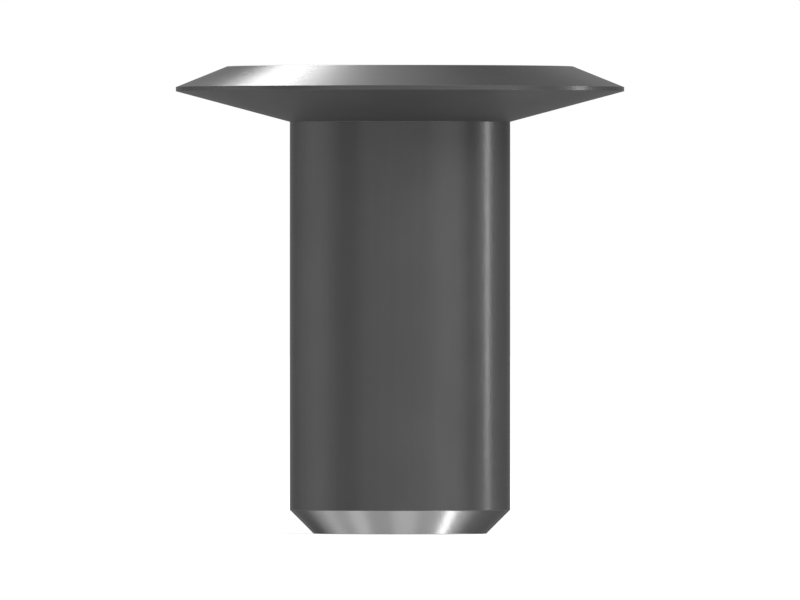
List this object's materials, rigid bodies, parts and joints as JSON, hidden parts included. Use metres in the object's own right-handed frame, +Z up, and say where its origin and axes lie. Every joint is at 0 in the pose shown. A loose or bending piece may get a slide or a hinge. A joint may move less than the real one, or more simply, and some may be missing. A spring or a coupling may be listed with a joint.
{
  "type": "semi-tubular rivet",
  "caption": "Semi-tubular steel rivet: bevelled flat countersunk head, plain round shank and a bored, chamfered tail that is rolled over to clinch linings or thin sheets.",
  "frame": {"origin": "centre of the flat ring on the tail end, where the rivet stands upright", "axes": "+Z up along the shank's axis, from the tail to the head"},
  "size_m": [0.0082, 0.0082, 0.0085],
  "materials": {
    "steel": "dark grey steel, satin, with faint rings from the die and the cutter"
  },
  "bodies": {
    "root": {"rivet": "steel"}
  },
  "joints": []
}
